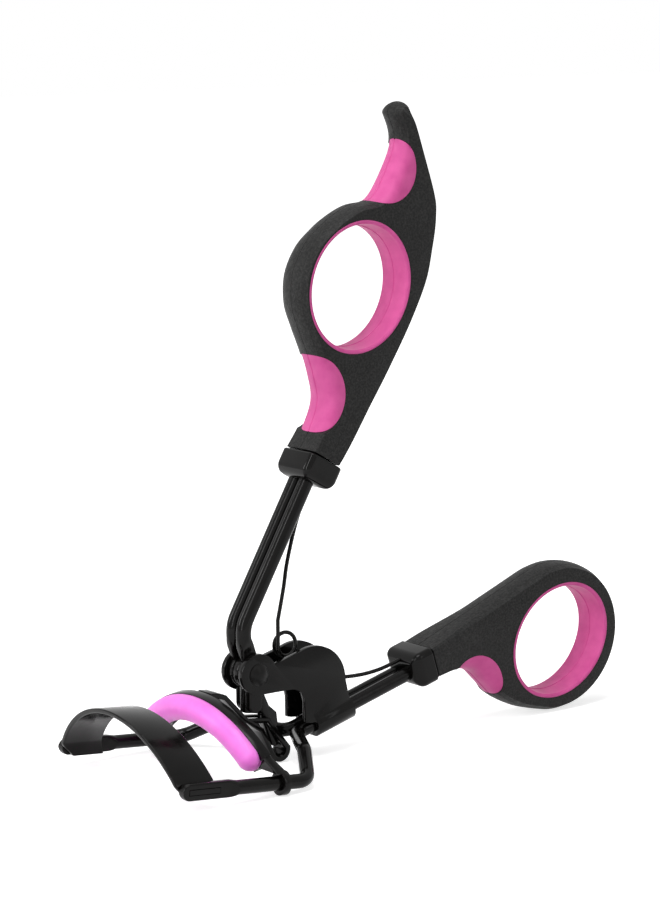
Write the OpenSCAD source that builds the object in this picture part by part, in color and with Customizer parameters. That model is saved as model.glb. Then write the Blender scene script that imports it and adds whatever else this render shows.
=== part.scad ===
// Eyelash curler: a wire frame with a fixed arched jaw plate, a sliding arched jaw with a
// soft pad, and a sprung lever whose tail drives the sliding jaw along two rails.
// Millimetres, +Z up. +X runs from the jaws to the handles, and the part is mirrored in y = 0.

/* [Wire frame] */
// Diameter of the steel wires
wire_d = 2.5; // [2:0.1:3]
// Distance between the two rails, centre to centre
rail_gap = 38.6; // [35:0.2:44]
// Length of each rail from its tip to the rear corner
rail_len = 25.4; // [25:0.1:30]
// Slope of the rails, falling to the rear, in degrees
rail_slope = 4.8; // [2:0.1:8]
// Bend radius of the wires at the rail corner
rail_bend_r = 3; // [2.5:0.1:4]
// Length of the flattened tip of each rail
tip_len = 11; // [9.5:0.1:11.5]
// Height of the flattened tip
tip_h = 2.9; // [2.6:0.1:3.4]
// Thickness of the flattened tip
tip_t = 1.5; // [1.1:0.1:2]

/* [Front jaw plate] */
// Thickness of the arched plate
plate_t = 0.9; // [0.6:0.1:1.2]
// Radius of the arch at mid-thickness
plate_r = 22.5; // [21.5:0.1:24]
// Height of the arch above the rails at mid-thickness
plate_rise = 9.8; // [8.5:0.1:11]
// Place of the plate's front edge at rail height
plate_front = 0.8; // [0:0.1:1.2]
// Place of the plate's rear edge at rail height
plate_rear = 7.5; // [7:0.1:8.5]
// Forward lean of the plate's front edge, in degrees
plate_lean = 21; // [12:0.5:26]
// Length of the staked tab at each end of the plate
tab_len = 6; // [4:0.1:6.2]

/* [Sliding jaw] */
// Place of the pad along the rails with the jaw open
jaw_x = 17.2; // [16.6:0.1:18]
// Forward lean of the pad and of the plate's rear edge, in degrees
jaw_lean = 15.5; // [8:0.5:20]
// Radius of the pad's arch
pad_arch_r = 23; // [22:0.1:25]
// Rise of the pad's arch above the rails
pad_rise = 9.6; // [8.5:0.1:10.5]
// Radius of the pad's round bead
pad_r = 2.1; // [1.7:0.1:2.4]
// Half of the angle that the pad's arch spans, in degrees
pad_half = 41.5; // [36:0.5:43]
// Half of the angle that the carrier spans, in degrees
carrier_half = 46; // [44.5:0.5:48]
// Thickness of the carrier's sheet metal
carrier_t = 0.8; // [0.6:0.1:1]
// Half height of the pad's tongue in the carrier
tongue_h = 1.5; // [1:0.1:1.6]
// Place of the rail eyelets along the rails with the jaw open
eyelet_x = 20; // [19.6:0.1:20.6]
// Thickness of the eyelets
eyelet_t = 1.3; // [0.9:0.1:1.5]
// Outer radius of the eyelets
eyelet_r = 2.1; // [1.8:0.05:2.4]

/* [Pivot bracket] */
// Distance of the lever pivot behind the rail tips
pivot_x = 26.75; // [26:0.05:28]
// Height of the lever pivot above the table
pivot_h = 16.7; // [16:0.1:18]
// Thickness of the bracket's sheet metal
bracket_t = 0.95; // [0.7:0.05:1.2]
// Radius of the bracket's pivot eye
bracket_eye_r = 3.6; // [3.2:0.1:4]
// Radius of the bracket's rear hump
hump_r = 6.8; // [6.4:0.1:7.4]
// Length of the sleeve that is rolled round the lower wires
sleeve_len = 8.2; // [7:0.1:9]
// Diameter of the rivet's shank
rivet_d = 2.4; // [1.8:0.1:2.8]
// Diameter of the rivet's domed heads
rivet_head_d = 3.8; // [3.2:0.1:5]
// Height of the rivet's domed heads
rivet_head_h = 0.9; // [0.6:0.1:1.3]

/* [Lever] */
// Height of the bend in the lever wires above the pivot
lever_rise = 7.6; // [7:0.1:9]
// Distance of that bend in front of the pivot
lever_fore = 2.5; // [1.6:0.05:3]
// Length of the lever wires from the bend to the handle's neck
lever_len = 33.3; // [30:0.1:37]
// Lean of the lever towards the rear, in degrees
lever_tilt = 30; // [27:0.1:33]
// Bend radius of the lever wires
lever_bend_r = 6; // [4:0.1:7]
// Thickness of the flattened eye and leg of each lever wire
eye_t = 1.3; // [1:0.05:1.5]
// Radius of the flattened eye
eye_r = 2.9; // [2.6:0.05:3.1]
// Width of the flattened leg
leg_w = 2.9; // [2.4:0.05:3.2]
// Length of the leg below the pivot
leg_len = 7; // [6:0.1:7.2]
// Thickness of the lever's tail plate
tail_t = 1.6; // [1.2:0.05:2]
// Reach of the tail's tip behind the pivot
tail_reach = 4.75; // [4.4:0.05:5]
// Drop of the tail's tip below the pivot
tail_drop = 13.2; // [13:0.05:13.4]
// Radius of the tail's round tip
tail_tip_r = 0.65; // [0.5:0.05:0.8]

/* [Drive strap] */
// Width of the strap from the carrier to the hook
strap_w = 4; // [3:0.1:5]
// Thickness of the strap
strap_t = 0.85; // [0.6:0.05:0.9]
// Inner radius of the hook round the tail's tip
hook_r = 1.25; // [1.15:0.05:1.3]

/* [Handles] */
// Thickness of both handles
handle_t = 8.7; // [8:0.1:9.2]
// Thickness at the finger rings, as a share of the thickness at the necks
ring_slim = 0.88; // [0.8:0.01:1]
// Thickness at the upper handle's tail, as a share of the thickness at its neck
tail_slim = 0.68; // [0.6:0.01:0.88]
// Length over which a neck slims down to its ring
neck_run = 14; // [11:0.5:17]
// Length over which the tail slims down to its tip
tail_run = 16; // [13:0.5:19]
// Width of the handles' rounded edges, seen from the side
handle_round = 0.95; // [0.5:0.05:1.1]
// Place of the crease in the handles' edges, as a share of half the thickness
handle_crease = 0.64; // [0.5:0.02:0.8]
// Length of the ferrules
ferrule_len = 4.9; // [3.5:0.1:6.5]
// Width of the ferrules across the wires
ferrule_w = 9.4; // [8.8:0.1:11]
// Radius of the ferrules' rounded edges
ferrule_round = 1.3; // [0.8:0.05:1.4]
// Length of wire held inside each handle
wire_hold = 6; // [4:0.1:8]
// Depth of the finger rests' inlay from the handle's surface, as the radius of its bite
rest_r = 6.2; // [5.8:0.1:6.6]
// Wall of the soft ring liners
liner_wall = 1.05; // [0.8:0.05:1.2]
// Setback of the soft ring liners from the handles' faces
liner_set = 0.1; // [0.05:0.05:0.5]
// Flare of the liners' bore at its edges
liner_flare = 0.2; // [0.15:0.05:0.55]
// Length of the straight part of the liners' bore
liner_land = 2.6; // [2:0.1:4]

/* [Lower handle] */
// Distance of the lower handle's neck behind the rail tips
lower_x = 64.6; // [62:0.1:68]
// Height of the wires at the lower handle's neck
lower_h = 12.9; // [12:0.1:14]
// Rise of the lower wires towards the handle, in degrees
lower_tilt = 16; // [14:0.5:18]
// Depth of the lower neck above the wires
lower_neck_up = 3.5; // [3:0.1:4]
// Depth of the lower neck below the wires
lower_neck_down = 2.3; // [2:0.1:2.8]
// Distance from the lower neck to the finger ring's centre
lower_reach = 29.1; // [27.5:0.1:31]
// Bore radius of the lower finger ring
lower_bore_r = 10; // [9.2:0.1:10.3]
// Wall of the lower handle round its ring liner
lower_wall = 2.55; // [2:0.05:3.2]

/* [Upper handle] */
// Half depth of the upper neck
upper_neck = 3.5; // [3.2:0.1:4]
// Distance from the upper neck to the finger ring's centre
upper_reach = 29; // [27.5:0.1:31]
// Offset of the upper finger ring in front of the wires
upper_offset = 6.8; // [6.1:0.1:7.5]
// Bore radius of the upper finger ring
upper_bore_r = 10.4; // [9.6:0.1:10.7]
// Wall of the upper handle in front of its ring liner
upper_wall = 1.15; // [1.05:0.05:2]
// Wall of the upper handle behind its ring liner
upper_back = 1.5; // [1.3:0.05:2.8]
// Length of the upper handle from its neck to the tip of its tail
upper_len = 62.4; // [61:0.1:64]

/* [Torsion spring] */
// Diameter of the spring wire
spring_d = 0.7; // [0.5:0.05:0.8]
// Mean radius of the spring's coil
coil_r = 2.05; // [1.8:0.05:2.3]
// Step of the coil from turn to turn
coil_pitch = 1.2; // [1.15:0.01:1.4]
// Distance of the coil behind the pivot
coil_x = 7.8; // [7.2:0.05:8.2]
// Height of the coil above the pivot
coil_h = 3.8; // [3.4:0.05:4.2]

/* [Hidden] */
$fn = 64;

// Clearances: fixed fits, running fits, side play of the lever
fit = 0.03;
run = 0.07;
side_play = 0.12;
// Overlap that joins shapes into one solid
weld = 0.2;
// Bent wire is a hair thicker than straight wire
swell = 0.04;

// Lever stack across the pivot, from the middle outwards
eye_y = tail_t / 2 + fit + eye_t / 2;
cheek_y = tail_t / 2 + fit + eye_t + side_play;
lower_pair = wire_d / 2 + 0.05;
shoulder = bracket_eye_r + 0.4;

// Rails: the eyelets stand on the table
rail_tip_h = eyelet_r * cos(rail_slope) + (eyelet_x + eyelet_t / 2) * sin(rail_slope);
rail_y = rail_gap / 2;

// Lower handle: its ring stands on the table
lower_liner_r = lower_bore_r + liner_wall;
lower_ring_r = lower_liner_r + lower_wall;
lower_ring = [lower_x + lower_reach, lower_ring_r];
upper_liner_r = upper_bore_r + liner_wall;

// The origin lies at the middle of the length and width, on the table
plate_apex = plate_rise + plate_t / 2;
front_end = (plate_front - plate_apex * tan(plate_lean)) * cos(rail_slope) + plate_apex * sin(rail_slope);
rear_end = lower_ring[0] + lower_ring_r;
x_mid = (front_end + rear_end) / 2;

wire_black = "#1c1c1e";
handle_black = "#2b2b2d";
soft_pink = "#dd4fa0";
pad_pink = "#f06fce";

function unit(v) = v / norm(v);
function polar(r, a) = [r * cos(a), r * sin(a)];
function flat(p) = [p[0], p[2]];
function reversed(v) = [for (i = [len(v) - 1 : -1 : 0]) v[i]];

// A point on the lower wires' axis: d along the axis from the neck, off square above it
function lower_at(d, off = 0, y = 0) = [
    lower_x + d * cos(lower_tilt) - off * sin(lower_tilt),
    y,
    lower_h + d * sin(lower_tilt) + off * cos(lower_tilt)
];
// A point on the lever wires' axis: d along the axis from the neck, off behind it
lever_bend = [pivot_x - lever_fore, pivot_h + lever_rise];
function upper_at(d, off = 0, y = 0) = [
    lever_bend[0] + (lever_len + d) * sin(lever_tilt) + off * cos(lever_tilt),
    y,
    lever_bend[1] + (lever_len + d) * cos(lever_tilt) - off * sin(lever_tilt)
];
// A point given along the rails, across them and above them
function rail_at(x, y, z = 0) = [
    x * cos(rail_slope) + z * sin(rail_slope),
    y,
    rail_tip_h - x * sin(rail_slope) + z * cos(rail_slope)
];
// A point of the sliding jaw's middle: back along its axis and up its leaning plane
function jaw_at(back, up) = rail_at(
    jaw_x + back * cos(jaw_lean) - up * sin(jaw_lean), 0,
    back * sin(jaw_lean) + up * cos(jaw_lean)
);

module place() translate([-x_mid, 0, 0]) children();
module on_rails() translate([0, 0, rail_tip_h]) rotate([0, rail_slope, 0]) children();
module on_jaw() on_rails() translate([jaw_x, 0, 0]) rotate([0, -jaw_lean, 0]) children();
module on_lower() translate([lower_x, 0, lower_h]) rotate([0, 90 - lower_tilt, 0]) children();
module on_upper() translate(upper_at(0)) rotate([0, lever_tilt, 0]) children();
// A flat outline in x and z, made a plate across y
module across(t) rotate([90, 0, 0]) linear_extrude(t, center = true) children();
// A bar across y
module cross_bar(x, z, d, t) translate([x, 0, z]) rotate([90, 0, 0]) cylinder(d = d, h = t, center = true);
module both_sides() {
    children();
    mirror([0, 1, 0]) children();
}

// Matrix that puts an axis frame at a point
function axes(x, y, z, o) = [
    [x[0], y[0], z[0], o[0]],
    [x[1], y[1], z[1], o[1]],
    [x[2], y[2], z[2], o[2]],
    [0, 0, 0, 1]
];
function square_to(v) = unit(cross(v, abs(v[1]) < 0.9 ? [0, 1, 0] : [1, 0, 0]));

module straight(a, b, d) {
    z = unit(b - a);
    x = square_to(z);
    multmatrix(axes(x, cross(z, x), z, a)) cylinder(d = d, h = norm(b - a));
}

// Distance from a corner to where its bend starts
function bend_run(a, b, c, r) = r * tan((180 - acos(unit(a - b) * unit(c - b))) / 2);

module bend(a, b, c, r, d) {
    u = unit(a - b);
    v = unit(c - b);
    half = acos(u * v) / 2;
    centre = b + unit(u + v) * r / sin(half);
    start = b + u * bend_run(a, b, c, r);
    x = unit(start - centre);
    z = unit(cross(x, -u));
    multmatrix(axes(x, cross(z, x), z, centre))
        rotate_extrude(angle = 180 - 2 * half)
            translate([r, 0]) circle(d = d + swell);
}

// A round wire through points, with a bend radius at each inner point
module wire(points, radii, d) {
    last = len(points) - 1;
    runs = [for (i = [0 : last])
        i == 0 || i == last ? 0 : bend_run(points[i - 1], points[i], points[i + 1], radii[i - 1])];
    for (i = [0 : last - 1]) {
        dir = unit(points[i + 1] - points[i]);
        from = points[i] + dir * (i == 0 ? 0 : runs[i] - weld);
        to = points[i + 1] - dir * (i == last - 1 ? 0 : runs[i + 1] - weld);
        straight(from, to, d);
    }
    for (i = [1 : last - 1])
        bend(points[i - 1], points[i], points[i + 1], radii[i - 1], d);
}

// A smooth curve through points, with n steps between each two
function curve_point(a, b, c, d, t) = 0.5 * (
    2 * b + (c - a) * t + (2 * a - 5 * b + 4 * c - d) * t * t + (3 * b - a - 3 * c + d) * t * t * t
);
function curve(p, n) = [
    for (i = [0 : len(p) - 2], k = [0 : n - 1])
        curve_point(p[max(i - 1, 0)], p[i], p[i + 1], p[min(i + 2, len(p) - 1)], k / n),
    p[len(p) - 1]
];

// Triangles between two rows of points that both advance along axis k
function zip(p, a, b, k, i, j) =
    let (more_a = i + 1 < len(a), more_b = j + 1 < len(b))
    !more_a && !more_b ? [] :
    !more_b || (more_a && p[a[i + 1]][k] < p[b[j + 1]][k])
        ? concat([[a[i], a[i + 1], b[j]]], zip(p, a, b, k, i + 1, j))
        : concat([[a[i], b[j + 1], b[j]]], zip(p, a, b, k, i, j + 1));

// Shapes of a plate's edge from its face to its middle, as shares of half the thickness and of
// the edge's width: a quarter round, and a crown with a crease
function round_edge(depth) = [for (a = [90, 58, 28, 0]) [1 - depth + depth * sin(a), 1 - cos(a)]];
function creased_edge(crease) = [[1, 1], [crease, 0.37], [0.55 * crease, 0.11], [0.15 * crease, 0]];

// A plate with shaped edges. Its outline runs anticlockwise in x and z: out along axis k on one
// side to the far end, and back on the other. Each point has its own thickness and edge width
module rounded_plate(outline, thick, edge, half, k) {
    n = len(outline);
    levels = concat([for (h = half) [-h[0], h[1]]], reversed(half));
    inward = [
        for (i = [0 : n - 1])
            let (t = unit(outline[(i + 1) % n] - outline[(i + n - 1) % n])) [-t[1], t[0]]
    ];
    points = [
        for (l = levels, i = [0 : n - 1])
            let (q = outline[i] + l[1] * edge[i] * inward[i]) [q[0], l[0] * thick[i] / 2, q[1]]
    ];
    sides = [
        for (l = [0 : len(levels) - 2], i = [0 : n - 1])
            let (j = (i + 1) % n)
            each [
                [l * n + i, (l + 1) * n + j, (l + 1) * n + i],
                [l * n + i, l * n + j, (l + 1) * n + j]
            ]
    ];
    far = max([for (q = outline) q[k]]);
    end = [for (i = [0 : n - 1]) if (outline[i][k] == far) i][0];
    face = zip(outline, [for (i = [0 : end]) i], [for (i = [n - 1 : -1 : end + 1]) i], k, 0, 0);
    front = [for (f = face) [f[0], f[2], f[1]]];
    last = (len(levels) - 1) * n;
    back = [for (f = face) [last + f[0], last + f[1], last + f[2]]];
    polyhedron(points, concat(sides, front, back));
}
// A value that runs from a to b as t runs from 0 to 1, and stays level outside
function ease(a, b, t) = a + (b - a) * min(max(t, 0), 1);

// One of the two guide rods: held in the lower handle, through the bracket's sleeve, out to
// the rail corner and forward along the rail to a flattened, slotted tip
sleeve_rear = -18.4;
sleeve_front = sleeve_rear - sleeve_len;
fork_run = 3.6;
fork_r = 2.6;
knee = rail_at(rail_len + 3.4, -0.68 * rail_y, 3.7);
slot_x = plate_front + 0.4;
module guide_rod() color(wire_black) place() difference() {
    union() {
        wire([
            lower_at(wire_hold, 0, -lower_pair),
            lower_at(sleeve_front - fork_run, 0, -lower_pair),
            knee,
            rail_at(rail_len, -rail_y),
            rail_at(tip_len - weld, -rail_y)
        ], [fork_r, rail_bend_r, rail_bend_r], wire_d);
        on_rails() translate([0, -rail_y, 0]) across(tip_t) {
            translate([tip_h / 2, -tip_h / 2]) square([tip_len - tip_h, tip_h]);
            translate([tip_h / 2, 0]) circle(d = tip_h);
            translate([tip_len - tip_h / 2, 0]) circle(d = tip_h);
        }
    }
    on_rails() translate([slot_x - fit, -rail_y - tip_t, -plate_t / 2 - fit])
        cube([tab_len + 2 * fit, 2 * tip_t, plate_t + 2 * fit]);
}
module guide_rod_left() guide_rod();
module guide_rod_right() mirror([0, 1, 0]) guide_rod();

// The fixed jaw: an arched plate that turns down inside each rail tip, with a tab staked into it
module front_jaw_plate() color(wire_black) place() on_rails() {
    arch_z = plate_rise - plate_r;
    top = plate_rise + plate_t;
    low = tip_h / 2;
    half_w = rail_y - tip_t / 2 - fit;
    intersection() {
        rotate([90, 0, 90]) linear_extrude(60, center = true) {
            intersection() {
                translate([0, arch_z]) difference() {
                    circle(r = plate_r + plate_t / 2, $fn = 128);
                    circle(r = plate_r - plate_t / 2, $fn = 128);
                }
                translate([-half_w, -plate_t / 2]) square([2 * half_w, top + plate_t]);
            }
            for (y = [-half_w, half_w - plate_t]) translate([y, -low]) square([plate_t, low + 0.8]);
        }
        across(rail_gap) polygon([
            [plate_front + low * tan(plate_lean), -low],
            [plate_rear + low * tan(jaw_lean), -low],
            [plate_rear - top * tan(jaw_lean), top],
            [plate_front - top * tan(plate_lean), top]
        ]);
    }
    both_sides() translate([slot_x, -rail_y - tip_t / 2, -plate_t / 2])
        cube([tab_len, tip_t + 2 * plate_t, plate_t]);
}

// The bracket: one folded sheet with two cheeks and a sleeve rolled round the lower wires
hump = [pivot_x + 11.55, pivot_h - 3.4];
module cheek_outline() {
    throat = [hump[0] - 1.9, pivot_h - bracket_eye_r];
    throat_r = 3;
    sleeve_top = wire_d / 2 + bracket_t;
    difference() {
        union() {
            translate(hump) circle(r = hump_r);
            polygon([
                [pivot_x, pivot_h],
                throat + [0, -throat_r - weld],
                flat(lower_at(sleeve_front - 1, sleeve_top)),
                flat(lower_at(sleeve_front + 0.5)),
                flat(lower_at(sleeve_rear - 0.5)),
                flat(lower_at(sleeve_rear - 0.5, sleeve_top)),
                hump + polar(hump_r, 0), hump, hump + polar(hump_r, 97),
                [pivot_x, pivot_h] + polar(bracket_eye_r, 22)
            ]);
        }
        difference() {
            translate(throat - [2 * hump_r, 2 * hump_r]) square(2 * hump_r);
            translate(throat - [throat_r, throat_r]) difference() {
                square(2 * throat_r);
                circle(r = throat_r);
            }
        }
    }
    translate([pivot_x, pivot_h]) circle(r = bracket_eye_r);
    polygon([
        [pivot_x, pivot_h], [pivot_x, pivot_h - bracket_eye_r], throat - [throat_r, 0], hump,
        [pivot_x, pivot_h] + polar(bracket_eye_r, 22)
    ]);
}
module pivot_bracket() color(wire_black) place() difference() {
    sleeve_r = wire_d / 2 + bracket_t;
    union() {
        both_sides() translate([0, cheek_y + bracket_t / 2, 0]) across(bracket_t) cheek_outline();
        on_lower() translate([0, 0, sleeve_front]) linear_extrude(sleeve_len) {
            for (s = [-1, 1]) translate([0, s * lower_pair]) circle(r = sleeve_r);
            translate([-sleeve_r, -lower_pair]) square([2 * sleeve_r, 2 * lower_pair]);
        }
    }
    on_lower() for (s = [-1, 1]) translate([0, s * lower_pair, sleeve_front - wire_d])
        cylinder(d = wire_d + 2 * fit, h = sleeve_len + 4 * wire_d);
    on_lower() translate([-lower_pair, -fit - wire_d / 4, sleeve_front - wire_d])
        cube([2 * lower_pair, wire_d / 2 + 2 * fit, sleeve_len + 2 * wire_d]);
    cross_bar(pivot_x, pivot_h, rivet_d + 2 * fit, rail_gap);
}

// The pivot rivet, with a domed head on each cheek
module pivot_rivet() color(wire_black) place() translate([pivot_x, 0, pivot_h]) rotate([90, 0, 0]) {
    face = cheek_y + bracket_t;
    dome_r = (pow(rivet_head_d / 2, 2) + pow(rivet_head_h, 2)) / (2 * rivet_head_h);
    cylinder(d = rivet_d, h = 2 * face, center = true);
    for (s = [0, 180]) rotate([s, 0, 0]) translate([0, 0, face]) intersection() {
        translate([0, 0, rivet_head_h - dome_r]) sphere(r = dome_r);
        cylinder(d = rivet_head_d, h = rivet_head_h);
    }
}

// A ferrule round the wires: a box with rounded edges, from the neck back along the wires
module ferrule(front, back, pair) {
    r = ferrule_round;
    corners = [
        [back - r, r - ferrule_len, -90], [back - r, -r, 0],
        [front + r, -r, 90], [front + r, r - ferrule_len, 180]
    ];
    outline = [for (c = corners, k = [0 : 5]) [c[0], c[1]] + polar(r, c[2] + 18 * k)];
    difference() {
        rounded_plate(
            outline, [for (q = outline) ferrule_w], [for (q = outline) r],
            round_edge(2 * r / ferrule_w), 1
        );
        for (s = [-1, 1]) translate([0, s * pair, -2 * ferrule_len])
            cylinder(d = wire_d + 2 * fit, h = 3 * ferrule_len);
    }
}
module lower_ferrule() color(wire_black) place() on_lower()
    ferrule(-lower_neck_up - 0.3, lower_neck_down + 0.4, lower_pair);
module upper_ferrule() color(wire_black) place() on_upper()
    ferrule(-upper_neck - 0.25, upper_neck + 0.25, eye_y);

// Bores in a handle for its two wires
module wire_sockets(pair) for (s = [-1, 1]) translate([0, s * pair, -wire_d])
    cylinder(d = wire_d + 2 * fit, h = wire_hold + wire_d + fit);

// A soft ring liner with a flared bore, its axis across the handle
liner_w = handle_t * ring_slim - 2 * liner_set;
module liner(bore_r) rotate([90, 0, 0]) rotate_extrude($fn = 128) polygon([
    [bore_r + liner_wall - fit, -liner_w / 2],
    [bore_r + liner_wall - fit, liner_w / 2],
    [bore_r + liner_flare, liner_w / 2],
    [bore_r, liner_land / 2],
    [bore_r, -liner_land / 2],
    [bore_r + liner_flare, -liner_w / 2]
]);

// Lower handle: a straight top edge, a finger rest under the neck and a round ring
// Each handle's outline runs past its neck and is cut square there
neck_spare = 3;
module neck_cut() translate([-handle_t, -handle_t, -handle_t]) cube([2 * handle_t, 2 * handle_t, handle_t]);
// The outlines' drawn points grow with the handles
lower_k = lower_reach / 29.1;
lower_rest = [lower_x, lower_h] + [9.35, -5.7] * lower_k;
lower_outline = let (
    c = lower_ring,
    r = lower_ring_r,
    k = lower_k,
    neck_top = flat(lower_at(0, lower_neck_up)),
    neck_low = flat(lower_at(0, -lower_neck_down)),
    to_top = neck_top - c,
    tangent = atan2(to_top[1], to_top[0]) - acos(r / norm(to_top)),
    belly = curve([
        neck_low,
        neck_low + [3.4, 0.6] * k,
        lower_rest + [-2.9, 3.8] * k,
        lower_rest + [0.7, 2.7] * k,
        lower_rest + [3.5, 0.1] * k,
        c + [-13.1, -9.3] * r / 13.5,
        c + [-9, -11.5] * r / 13.5,
        c + polar(r, -110),
        c + polar(r, -95)
    ], 4),
    ring = [for (i = [1 : 26]) c + polar(r, -95 + (tangent + 95) * i / 26)],
    top = [for (i = [1 : 4]) c + polar(r, tangent) + (neck_top - c - polar(r, tangent)) * i / 4]
) concat([flat(lower_at(-neck_spare, -lower_neck_down))], belly, ring, top,
    [flat(lower_at(-neck_spare, lower_neck_up))]);
module lower_blank() rounded_plate(
    lower_outline,
    [for (q = lower_outline) handle_t * ease(1, ring_slim, (q[0] - lower_x) / neck_run)],
    [for (q = lower_outline) handle_round * ease(0.4, 1, (q[0] - lower_x) / neck_run)],
    creased_edge(handle_crease), 0
);
module lower_handle() color(handle_black) place() difference() {
    lower_blank();
    cross_bar(lower_ring[0], lower_ring[1], 2 * lower_liner_r, 2 * handle_t);
    cross_bar(lower_rest[0], lower_rest[1], 2 * rest_r, 2 * handle_t);
    on_lower() neck_cut();
    on_lower() wire_sockets(lower_pair);
}
module lower_finger_rest() color(soft_pink) place() intersection() {
    lower_blank();
    cross_bar(lower_rest[0], lower_rest[1], 2 * (rest_r - fit), 2 * handle_t);
}
module lower_ring_liner() color(soft_pink) place()
    translate([lower_ring[0], 0, lower_ring[1]]) liner(lower_bore_r);

// Upper handle, drawn with x behind the wires and z up along them: a neck with a finger rest,
// a ring, and a tail with a rest for the thumb
upper_ring = [-upper_offset, upper_reach];
upper_k = upper_len / 62.4;
upper_rest = [-7.6, 8.3] * upper_k;
tail_rest = upper_ring + [-5, 21.1] * upper_k;
upper_rest_r = 1.13 * rest_r;
tail_rest_r = rest_r;
upper_outline = let (
    c = upper_ring,
    r = upper_liner_r + upper_wall,
    b = upper_liner_r + upper_back,
    k = upper_k,
    tip_r = 2.05 * k,
    tip = [c[0] - 5.7 * k, upper_len - tip_r],
    back = curve([
        [upper_neck, 0],
        [upper_neck + 1.9 * k, 12 * k],
        [c[0] + b, c[1] - 6 * k],
        [c[0] + b + 0.1 * k, c[1] + 1.5 * k],
        [c[0] + b - 0.4 * k, c[1] + 8 * k],
        [c[0] + b - 1.9 * k, c[1] + 13.3 * k],
        c + [9.2, 18.6] * k,
        c + [6.9, 22.4] * k,
        tip + [5.65, -2.15] * k,
        tip + polar(tip_r, 60)
    ], 4),
    round = [for (a = [90 : 30 : 190]) tip + polar(tip_r, a)],
    front = curve([
        tip + polar(tip_r, 215),
        tip + [1.65, -4.15] * k,
        tip + [2.6, -9.05] * k,
        tip + [2.2, -15.35] * k,
        c + polar(r + 2 * k, 119),
        c + polar(r + 0.9 * k, 134),
        c + polar(r + 0.2 * k, 149),
        c + polar(r, 170),
        c + polar(r, 195),
        c + polar(r, 220),
        c + polar(r + 0.2 * k, 241),
        c + polar(r + 1.6 * k, 259),
        upper_rest + [1.2, 3.9] * k,
        upper_rest + [4, 0.5] * k,
        upper_rest + [4.8, -4.3] * k,
        [-upper_neck, 0]
    ], 4)
) concat([[upper_neck, -neck_spare]], back, round, front, [[-upper_neck, -neck_spare]]);
module upper_blank() rounded_plate(
    upper_outline,
    [for (q = upper_outline) handle_t * (
        ease(1, ring_slim, q[1] / neck_run)
        - ease(0, ring_slim - tail_slim, (q[1] - upper_len + 3.4 * upper_k + tail_run) / tail_run))],
    [for (q = upper_outline) handle_round * ease(0.4, 1, q[1] / neck_run)],
    creased_edge(handle_crease), 1
);
module upper_handle() color(handle_black) place() on_upper() difference() {
    upper_blank();
    cross_bar(upper_ring[0], upper_ring[1], 2 * upper_liner_r, 2 * handle_t);
    cross_bar(upper_rest[0], upper_rest[1], 2 * upper_rest_r, 2 * handle_t);
    cross_bar(tail_rest[0], tail_rest[1], 2 * tail_rest_r, 2 * handle_t);
    neck_cut();
    wire_sockets(eye_y);
}
module upper_finger_rest() color(soft_pink) place() on_upper() intersection() {
    upper_blank();
    cross_bar(upper_rest[0], upper_rest[1], 2 * (upper_rest_r - fit), 2 * handle_t);
}
module upper_tail_rest() color(soft_pink) place() on_upper() intersection() {
    upper_blank();
    cross_bar(tail_rest[0], tail_rest[1], 2 * (tail_rest_r - fit), 2 * handle_t);
}
module upper_ring_liner() color(soft_pink) place() on_upper()
    translate([upper_ring[0], 0, upper_ring[1]]) liner(upper_bore_r);

// One of the two lever rods: held in the upper handle, bent down to the pivot, then flattened
// into an eye on the rivet and a leg below it
lever_slant = atan2(lever_fore, lever_rise);
module lever_rod() color(wire_black) place() difference() {
    union() {
        wire([
            upper_at(wire_hold, 0, -eye_y),
            [lever_bend[0], -eye_y, lever_bend[1]],
            [pivot_x - shoulder * sin(lever_slant), -eye_y, pivot_h + shoulder * cos(lever_slant)]
        ], [lever_bend_r], wire_d);
        translate([pivot_x, -eye_y, pivot_h]) across(eye_t) {
            circle(r = eye_r);
            rotate(lever_slant) translate([-leg_w / 2, 0]) square([leg_w, shoulder + 0.8]);
            translate([-leg_w / 2, leg_w / 2 - leg_len]) square([leg_w, leg_len]);
            translate([0, leg_w / 2 - leg_len]) circle(d = leg_w);
        }
    }
    cross_bar(pivot_x, pivot_h, rivet_d + 2 * run, rail_gap);
}
module lever_rod_left() lever_rod();
module lever_rod_right() mirror([0, 1, 0]) lever_rod();

// The lever's tail: a plate between the two eyes, with a finger that sits in the hook
tail_tip = [tail_reach, -tail_drop];
module lever_tail() color(wire_black) place() translate([pivot_x, 0, pivot_h]) difference() {
    across(tail_t) {
        circle(r = eye_r);
        translate(tail_tip) circle(r = tail_tip_r);
        polygon([
            [eye_r, 0], [-leg_w / 2, 0], [-leg_w / 2, -leg_len], [2, 0.1 - leg_len - 0.7],
            tail_tip + polar(tail_tip_r, 202), tail_tip + polar(tail_tip_r, 5),
            tail_tip + [0.7, 2.9], tail_tip + [0.4, 5.4], tail_tip + [-1.15, 6.8],
            tail_tip + [-2.05, 8.8]
        ]);
    }
    cross_bar(0, 0, rivet_d + 2 * run, rail_gap);
}

// A profile of radius and depth, swept round the jaw's arch
module jaw_arch(half) translate([0, 0, pad_rise - pad_arch_r])
    multmatrix([[0, 0, 1, 0], [0, -1, 0, 0], [1, 0, 0, 0], [0, 0, 0, 1]])
        rotate([0, 0, -half]) rotate_extrude(angle = 2 * half, $fn = 128) children();

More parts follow.
